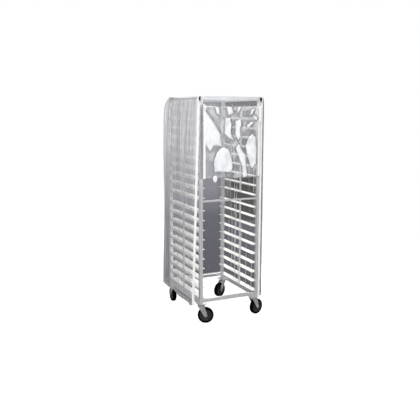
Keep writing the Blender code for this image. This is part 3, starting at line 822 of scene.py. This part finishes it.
def header():
    """The strip over the door, from the top's front edge down to the flap's seam."""
    low, high = HEADER_LOW, HEADER_HIGH
    columns, rows = 90, 12
    x = np.linspace(low.x - 0.004, high.x + 0.004, columns)[None, :]
    z = np.linspace(COVER_TOP - 0.001, low.z, rows)[:, None]
    x, z = np.broadcast_arrays(x, z)
    folds = folded_noise(x / 0.05, z / 0.05, 31) * 0.004 * ramp(COVER_TOP - z, 0.0, 0.02)
    points = np.stack([x, FRONT - np.abs(folds), z], axis=-1)
    mesh = grid_mesh("vinyl_header", points, crease_of(folds, 0.0012))
    made = add_piece("vinyl_header", mesh, VINYL_LESS_HAZE, "rack")
    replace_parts(made, "cover_header")


def zipper_tapes():
    """Woven tapes down both sides of the door, with a row of teeth along the inner edge of each."""
    for side, sign in SIDES.items():
        z = np.linspace(COVER_TOP - 0.0005, HEM, 240)[:, None]
        outer = tape_edge(side, z)
        across = np.linspace(0.0, 1.0, 7)[None, :]
        x = outer - sign * TAPE_WIDTH * across
        wave = 0.0006 * smooth_noise(z / 0.06, across * 2, 41)
        y = np.broadcast_to(FRONT - 0.0002, x.shape) + wave
        points = np.stack([x, y, np.broadcast_to(z, x.shape)], axis=-1)
        if side == "left":
            points = points[:, ::-1]
        mesh = grid_mesh(f"tape_{side}", points)
        made = add_piece(f"tape_{side}", mesh, TAPE, "rack")
        thick = made.modifiers.new("Thickness", "SOLIDIFY")
        thick.thickness = 0.0009
        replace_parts(made, f"zipper_tape_{side}")
        teeth = zipper_teeth(side, sign)


def zipper_teeth(side, sign):
    """One moulded tooth every 3 mm, as a block that narrows away from the tape."""
    pitch = 0.0030
    count = int((COVER_TOP - HEM - 0.004) / pitch)
    points, faces = [], []
    for number in range(count):
        z = HEM + 0.003 + pitch * number
        edge = float(tape_edge(side, np.array(z))) - sign * TAPE_WIDTH
        start = len(points)
        for x_out, half_y, half_z in ((0.0040, 0.0012, 0.0009), (-0.0012, 0.0012, 0.0007)):
            for y_sign in (-1, 1):
                for z_sign in (-1, 1):
                    x = edge + sign * x_out
                    points.append((x, FRONT - 0.0006 + y_sign * half_y, z + z_sign * half_z))
        a, b, c, d, e, f, g, h = range(start, start + 8)
        faces += [(a, b, d, c), (e, g, h, f), (a, c, g, e), (b, f, h, d), (a, e, f, b), (c, d, h, g)]
    mesh = mesh_of(f"zipper_teeth_{side}", points, faces)
    return add_piece(f"zipper_teeth_{side}", mesh, TEETH, "rack", smooth=False)


FLAP_DROP = HEADER_LOW.z - 0.002 - FLAP_LOW.z  # from the flap's seam down to its fold
FLAP_SPAN = FLAP_HIGH.x - FLAP_LOW.x
FLAP_LENGTH = 1.45  # of the film that is followed from the flap's seam to its far hem
FLAP_HEM = 0.022
FLAP_FRONT = FRONT - 0.0042  # where the flap's seam is
FOLD_RADIUS = 0.0095
LIP_RADIUS = 0.006
SWAG_RUN = 0.30  # length of film in the turned-down end
LIP_HEIGHT = 1.692
# The turned-down end's hem is a V: how far down the door it is, at shares of the door's width
SWAG_ACROSS = (0.0, 0.34, 0.505, 0.60, 1.0)
SWAG_DOWN = (0.02, 0.40, 0.49, 0.49, 0.19)
# Painted highlights on the folded flap, each with a painted dark outline
# White patches where the crumpled film lies flat to the light. They are listed, each as its
# corners in shares of the door: how far across from the left, and how far down from the flap's seam
PAINTED_HIGHLIGHTS = (
    ((0.01, 0.07), (0.16, 0.22), (0.29, 0.40), (0.31, 0.56), (0.17, 0.55), (0.11, 0.63), (0.03, 0.53)),
    ((0.18, 0.90), (0.18, 0.75), (0.24, 0.62), (0.34, 0.57), (0.43, 0.60), (0.48, 0.71), (0.51, 0.85),
     (0.47, 0.92), (0.30, 0.90)),
    ((0.36, 0.18), (0.45, 0.18), (0.48, 0.27), (0.47, 0.38), (0.51, 0.48), (0.43, 0.45), (0.35, 0.39)),
    ((0.54, 0.23), (0.63, 0.19), (0.66, 0.26), (0.63, 0.36), (0.65, 0.44), (0.58, 0.48), (0.54, 0.40)),
    ((0.85, 0.39), (0.92, 0.44), (0.94, 0.62), (0.93, 0.82), (0.85, 0.87), (0.81, 0.80), (0.76, 0.66),
     (0.74, 0.55), (0.78, 0.47)),
    ((0.62, 0.53), (0.65, 0.60), (0.73, 0.68), (0.75, 0.80), (0.77, 0.98), (0.69, 0.99), (0.68, 0.84),
     (0.60, 0.67), (0.56, 0.59)),
    ((0.38, 0.00), (0.48, 0.00), (0.51, 0.12), (0.41, 0.15)),
    ((0.17, 0.02), (0.25, 0.04), (0.28, 0.15), (0.21, 0.12)),
    ((0.58, 0.03), (0.68, 0.01), (0.62, 0.09), (0.57, 0.12)),
    ((0.83, 0.07), (0.89, 0.05), (0.85, 0.13), (0.79, 0.15)),
    ((0.86, 0.14), (0.95, 0.18), (0.92, 0.22), (0.86, 0.18)),
    ((0.74, 0.29), (0.83, 0.23), (0.87, 0.25), (0.77, 0.32)),
    ((0.16, 0.95), (0.24, 0.95), (0.24, 1.10), (0.15, 1.10)),
)


def swag_drop(across):
    return FLAP_DROP * np.interp(across, SWAG_ACROSS, SWAG_DOWN)


def flap_column(across, along):
    """The folded flap's smooth shape: share across the door, and metres along the sheet from its seam."""
    top_y, top_z = FLAP_FRONT, FLAP_LOW.z + FLAP_DROP
    tail = 0.034 * np.exp(-(((across - 0.20) / 0.045) ** 2))
    fold_z = FLAP_LOW.z + 0.0125 - tail + 0.004 * np.sin(across * 7.0)
    down = top_z - fold_z
    lip_z = LIP_HEIGHT - 0.006 * np.sin(across * pi)
    up = lip_z - fold_z
    first, second = down, down + pi * FOLD_RADIUS
    third, fourth = second + up, second + up + pi * LIP_RADIUS
    front_y = top_y - 0.002 - 2 * FOLD_RADIUS
    turn = np.clip((along - first) / FOLD_RADIUS, 0.0, pi)
    share_up = np.clip((along - second) / up, 0.0, 1.0)
    turn_over = np.clip((along - third) / LIP_RADIUS, 0.0, pi)
    share_swag = np.clip((along - fourth) / SWAG_RUN, 0.0, 1.0)
    y = np.where(along < first, top_y - 0.002 * along / first, front_y + FOLD_RADIUS * (1 + np.cos(turn)))
    z = np.where(along < first, top_z - along, fold_z - FOLD_RADIUS * np.sin(turn))
    y = np.where(along > second, front_y + 0.004 * share_up, y)
    z = np.where(along > second, fold_z + share_up * up, z)
    y = np.where(along > third, front_y + 0.004 - LIP_RADIUS * (1 - np.cos(turn_over)), y)
    z = np.where(along > third, lip_z + LIP_RADIUS * np.sin(turn_over), z)
    y = np.where(along > fourth, front_y - 0.008 - 0.004 * share_swag, y)
    z = np.where(along > fourth, lip_z - swag_drop(across) * share_swag, z)
    shown = np.where(along > third, 1.0, ramp(lip_z - swag_drop(across) - z, -0.01, 0.005))
    return y, z, np.where(along > first, shown, 0.0)


def flap_folds(across, along):
    """How far the crumpled flap stands off its smooth shape."""
    broad = folded_noise(across * 3.4 + 0.4 * along, along / 0.17, 51) * 0.010
    medium = folded_noise(across * 7.0 - 1.2 * along, along / 0.085 + 3.0, 52) * 0.0035
    edge = ramp(np.minimum(across, 1 - across), 0.0, 0.06)
    return (broad + medium) * (0.25 + 0.75 * edge) * ramp(along, 0.0, 0.04)


def depth_inside(corners, across, down):
    """Metres inside the outline through some corners of the door; below 0 outside it."""
    x, z = across * FLAP_SPAN, down * FLAP_DROP
    inside = np.zeros(x.shape, bool)
    nearest = np.full(x.shape, 1.0)
    for (a0, d0), (a1, d1) in zip(corners, corners[1:] + corners[:1]):
        x0, z0, x1, z1 = a0 * FLAP_SPAN, d0 * FLAP_DROP, a1 * FLAP_SPAN, d1 * FLAP_DROP
        step_x, step_z = x1 - x0, z1 - z0
        share = np.clip(((x - x0) * step_x + (z - z0) * step_z) / (step_x**2 + step_z**2), 0.0, 1.0)
        nearest = np.minimum(nearest, np.hypot(x - x0 - share * step_x, z - z0 - share * step_z))
        if z0 != z1:
            crossed = (z0 > z) != (z1 > z)
            inside ^= crossed & (x < x0 + step_x * (z - z0) / step_z)
    return np.where(inside, nearest, -nearest)


def flap_painted_light(across, z, shown):
    """Painted highlights and painted shade on the layer that is in front: white patches with dark outlines,
    darker film down both sides lower down, and how far each patch bulges.
    """
    down = (FLAP_LOW.z + FLAP_DROP - z) / FLAP_DROP
    wander = 0.010 * smooth_noise(across * 18.0, down * 18.0, 61)
    tone = 0.02 + 0.34 * ramp(smooth_noise(across * 6.0, down * 5.0, 62), -0.15, 0.35)
    # Painted shade: the film darker down both sides of the door, lower down
    tone -= 0.25 * ramp(down, 0.55, 0.75) * (ramp(across, 0.12, 0.07) + ramp(across, 0.90, 0.94))
    bulge = np.zeros_like(tone)
    for corners in PAINTED_HIGHLIGHTS:
        depth = depth_inside(corners, across + wander, down + wander)
        # Painted shade: a dark outline just outside each patch
        outline = ramp(depth, -0.014, -0.004) * ramp(depth, 0.002, -0.002)
        tone = tone * (1 - outline) - 0.75 * outline
        # Painted highlight: white inside each patch
        white = ramp(depth, -0.002, 0.003)
        tone = tone * (1 - white) + white * (0.88 + 0.35 * smooth_noise(across * 9.0, down * 9.0, 63))
        bulge = np.maximum(bulge, 0.006 * ramp(depth, -0.006, 0.014))
    return tone * shown, bulge * shown


def flap_grid(first, last, start, end, step=0.0045):
    """A grid of points on the folded flap, and its tone, which holds the flap's painted highlights and
    painted shade.

    It goes from share first to last across the door, and from start to end in metres along the film.
    """
    columns = max(2, int(FLAP_SPAN * (last - first) / step)) + 1
    rows = max(2, int((end - start) / step)) + 1
    across = np.linspace(first, last, columns)[None, :]
    along = np.linspace(start, end, rows)[:, None]
    across, along = np.broadcast_arrays(across, along)
    y, z, shown = flap_column(across, along)
    tone, bulge = flap_painted_light(across, z, shown)
    lip = ramp(np.abs(z - LIP_HEIGHT), 0.010, 0.003) * shown
    tone = tone * (1 - lip) + 0.65 * lip
    folds = flap_folds(across, along) * (1.0 - 0.5 * shown)
    x = FLAP_LOW.x + FLAP_SPAN * across
    return np.stack([x, y - folds * 0.75 - bulge - 0.003, z], axis=-1), tone


def front_flap():
    points, tone = flap_grid(0.0, 1.0, 0.0, FLAP_LENGTH)
    made = add_piece("vinyl_flap", grid_mesh("vinyl_flap", points, tone), VINYL_FLAP, "flap")
    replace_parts(made, "front_flap")
    hem_points, _ = flap_grid(0.0, 1.0, FLAP_LENGTH - FLAP_HEM, FLAP_LENGTH)
    hem_points[..., 1] -= FILM_GAP
    # The hem's tone: white across its middle, partly from the doubled film and partly a painted highlight
    # along the fold, with painted shade as dark lines along both its edges
    edge = np.linspace(-1.0, 1.0, hem_points.shape[0])[:, None] ** 4
    hem_painted_light = np.broadcast_to(0.45 - 1.1 * edge, hem_points.shape[:2])
    hem_mesh = grid_mesh("flap_hem", hem_points, hem_painted_light)
    pieces = [add_piece("flap_hem", hem_mesh, VINYL_FLAP, "flap")]
    for side, (first, last) in (("left", (0.0, 0.030)), ("right", (0.970, 1.0))):
        tape_points, _ = flap_grid(first, last, 0.0, FLAP_LENGTH - 0.001)
        tape_points[..., 1] -= FILM_GAP / 2
        tape_mesh = grid_mesh(f"flap_tape_{side}", tape_points)
        pieces.append(add_piece(f"flap_tape_{side}", tape_mesh, TAPE, "flap"))
    # Each of the flap's pieces gets a mesh of its own
    for piece in [made] + pieces:
        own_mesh(piece)


# ---------------------------------------------------------------- stage, light and camera


# What is seen through the film: the floor near and far, then the backdrop low and high
BACKDROP_LOW = ((0.110, 0.110, 0.125), (0.140, 0.140, 0.162))
BACKDROP_HIGH = ((0.140, 0.140, 0.162), (0.270, 0.270, 0.295))
BACKDROP_ASIDE = (0.085, 0.085, 0.082)


def through_film(look):
    """1 where the camera sees this through at least one film of vinyl, else 0."""
    path = look.add("ShaderNodeLightPath")
    passed = look.math("GREATER_THAN", path.outputs["Transparent Depth"], 0.5)
    return look.math("MULTIPLY", passed, path.outputs["Is Camera Ray"])


def floor():
    shape = bmesh.new()
    bmesh.ops.create_circle(shape, cap_ends=True, segments=96, radius=4.2)
    mesh = bpy.data.meshes.new("floor")
    shape.to_mesh(mesh)
    shape.free()
    made = bpy.data.objects.new("floor", mesh)
    SCENE.collection.objects.link(made)
    look = Look("floor", (0.50, 0.50, 0.50), 0.9)
    at = look.add("ShaderNodeNewGeometry").outputs["Position"]
    behind = look.add("ShaderNodeSeparateXYZ", {"Vector": at}).outputs["Y"]
    grey = look.blend(look.spread(behind, 0.3, 3.5, 0.0, 1.0), *BACKDROP_LOW)
    dim = look.add("ShaderNodeEmission", {"Color": grey})
    mix = look.add(
        "ShaderNodeMixShader", {0: through_film(look), 1: look.shader.outputs[0], 2: dim.outputs[0]}
    )
    look.set(look.output, "Surface", mix.outputs[0])
    seen = look.add("ShaderNodeLightPath").outputs["Is Camera Ray"]
    look.set(look.shader, "Emission Color", (1.0, 1.0, 1.0, 1.0))
    look.set(look.shader, "Emission Strength", look.math("MULTIPLY", seen, 0.80))
    mesh.materials.append(look.material)


class WorldLook(Look):
    """The same node tools on the world's own tree."""

    def __init__(self):
        world = bpy.data.worlds.new("studio")
        world.use_nodes = True
        SCENE.world = world
        self.tree = world.node_tree
        self.output = self.tree.nodes["World Output"]
        self.back = self.tree.nodes["Background"]


def studio_world():
    """White behind the object, grey where it is seen through the film, and a soft dome of light."""
    look = WorldLook()
    direction = look.add("ShaderNodeTexCoord").outputs["Generated"]
    parts = look.add("ShaderNodeSeparateXYZ", {"Vector": direction})
    behind = look.blend(look.spread(parts.outputs["Z"], -0.175, -0.125, 0.0, 1.0), *BACKDROP_HIGH)
    aside = look.spread(parts.outputs["X"], 0.425, 0.450, 0.0, 1.0)
    behind = look.blend(aside, behind, BACKDROP_ASIDE)
    lean = look.math("ADD", look.math("MULTIPLY", parts.outputs["X"], -0.35), parts.outputs["Z"])
    dome = look.spread(lean, -0.6, 0.9, 0.22, 0.62)
    path = look.add("ShaderNodeLightPath")
    shown = look.blend(through_film(look), (1.0, 1.0, 1.0), behind)
    look.set(look.back, "Color", look.blend(path.outputs["Is Camera Ray"], dome, shown))


def softbox(name, place, target, size, power):
    data = bpy.data.lights.new(name, "AREA")
    data.shape = "RECTANGLE"
    data.size, data.size_y = size
    data.energy = power
    made = bpy.data.objects.new(name, data)
    SCENE.collection.objects.link(made)
    made.location = place
    made.rotation_euler = (Vector(target) - Vector(place)).to_track_quat("-Z", "Y").to_euler()
    made.visible_camera = False


def lights():
    softbox("front_box", (1.0, -4.20, 3.4), (0.0, -0.2, 1.0), (1.8, 1.8), 55.0)
    softbox("key_box", (-2.4, -3.8, 2.8), (0.1, 0.0, 0.7), (1.6, 1.6), 100.0)
    softbox("rear_box", (-2.4, 3.4, 2.2), (-0.25, 0.0, 1.3), (1.6, 2.2), 10.0)
    softbox("side_box", (2.05, -4.40, 1.35), (0.0, -0.35, 1.35), (1.1, 1.7), 6.5)
    softbox("ledge_box", (1.9, 3.4, 1.55), (0.1, 0.0, 0.8), (2.8, 1.5), 9.0)
    softbox("wall_box", (0.98, 1.15, 0.95), (0.24, 0.15, 0.75), (1.1, 1.8), 5.0)


def camera():
    data = bpy.data.cameras.new("camera")
    data.sensor_width = 36.0
    data.lens = 50.16
    made = bpy.data.objects.new("camera", data)
    SCENE.collection.objects.link(made)
    made.location = (-2.0342, -4.3485, 1.6393)
    made.rotation_euler = (radians(90.0 - 9.365), radians(-0.17), radians(-24.79))
    SCENE.camera = made


finish_frame()
weld_beads()
wheels()
for panel_name in ("left", "rear", "right"):
    skirt_panel(panel_name)
cover_top()
rear_seams()
top_seams()
header()
zipper_tapes()
front_flap()
floor()
studio_world()
lights()
camera()
SCENE.view_settings.view_transform = "Standard"
